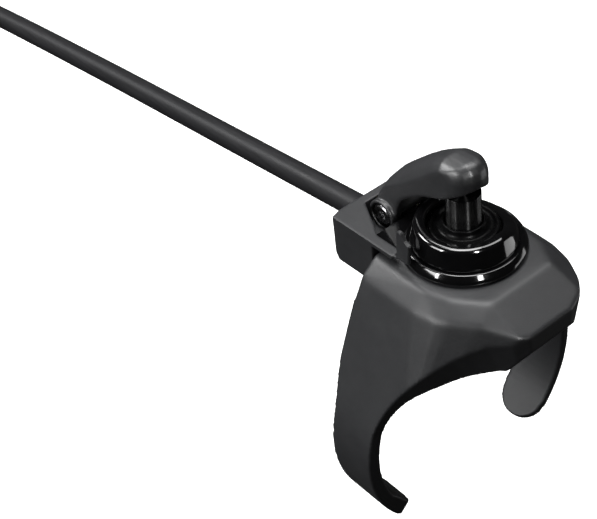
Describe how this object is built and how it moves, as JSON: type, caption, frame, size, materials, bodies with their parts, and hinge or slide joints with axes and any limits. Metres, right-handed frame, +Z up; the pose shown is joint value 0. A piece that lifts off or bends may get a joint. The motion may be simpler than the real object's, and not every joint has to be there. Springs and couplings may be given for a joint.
{
  "type": "thumb shifter",
  "caption": "Thumb-operated remote switch: a C-shaped handlebar clip carries a hinged lever that presses a round push switch, with a short lead and plug.",
  "frame": {"origin": "on the handlebar's axis, straight below the push switch", "axes": "+X along the handlebar away from the cable; +Z up through the push switch to the lever; -Y the side of the long clip tongue"},
  "size_m": [0.1851, 0.0348, 0.0507],
  "materials": {
    "clip_plastic": "fine-grained matte, moulded, dark grey",
    "gloss_black": "polished black",
    "soft_rubber": "satin black",
    "cable_jacket": "satin dark grey jacket",
    "bright_steel": "plain",
    "black_steel": "blackened",
    "contact_brass": "plain",
    "board": "green laminate"
  },
  "bodies": {
    "housing": {"bar_clip": "clip_plastic", "switch_block": "clip_plastic", "block_cover": "clip_plastic", "base_screw_1": "bright_steel", "base_screw_2": "bright_steel", "cover_screw_1": "bright_steel", "cover_screw_2": "bright_steel", "pivot_bush": "contact_brass", "lever_spring": "bright_steel", "switch_base": "gloss_black", "retaining_ring": "gloss_black", "seal_ring": "soft_rubber", "rubber_boot": "soft_rubber", "plunger_spring": "bright_steel", "spring_seat": "gloss_black", "contact_dome": "bright_steel", "circuit_board": "board", "signal_wire": "cable_jacket", "ground_wire": "cable_jacket", "cable_grommet": "soft_rubber", "cable": "cable_jacket", "plug_body": "soft_rubber", "plug_seal": "soft_rubber", "plug_contact": "contact_brass"},
    "lever": {"thumb_lever": "clip_plastic", "pivot_screw": "black_steel", "pivot_nut": "black_steel"},
    "button": {"plunger": "gloss_black"}
  },
  "joints": [
    {"name": "lever_pivot", "type": "hinge", "parent": "housing", "child": "lever", "pos_m": [-0.01065, 0, 0.0246], "axis": [0, 1, 0], "range_deg": [0, 6], "stiffness_Nm_per_rad": 0.04, "springref_deg": -20.05, "deforming": ["lever_spring"]},
    {"name": "plunger_slide", "type": "slide", "parent": "housing", "child": "button", "axis": [0, 0, -1], "range_m": [0, 0.00112], "stiffness_N_per_m": 0.5, "springref_m": -0.0028, "deforming": ["plunger_spring", "rubber_boot", "contact_dome"]}
  ],
  "couplings": [
    {"joint": "plunger_slide", "follows": "lever_pivot", "m_per_rad": 0.01065}
  ]
}
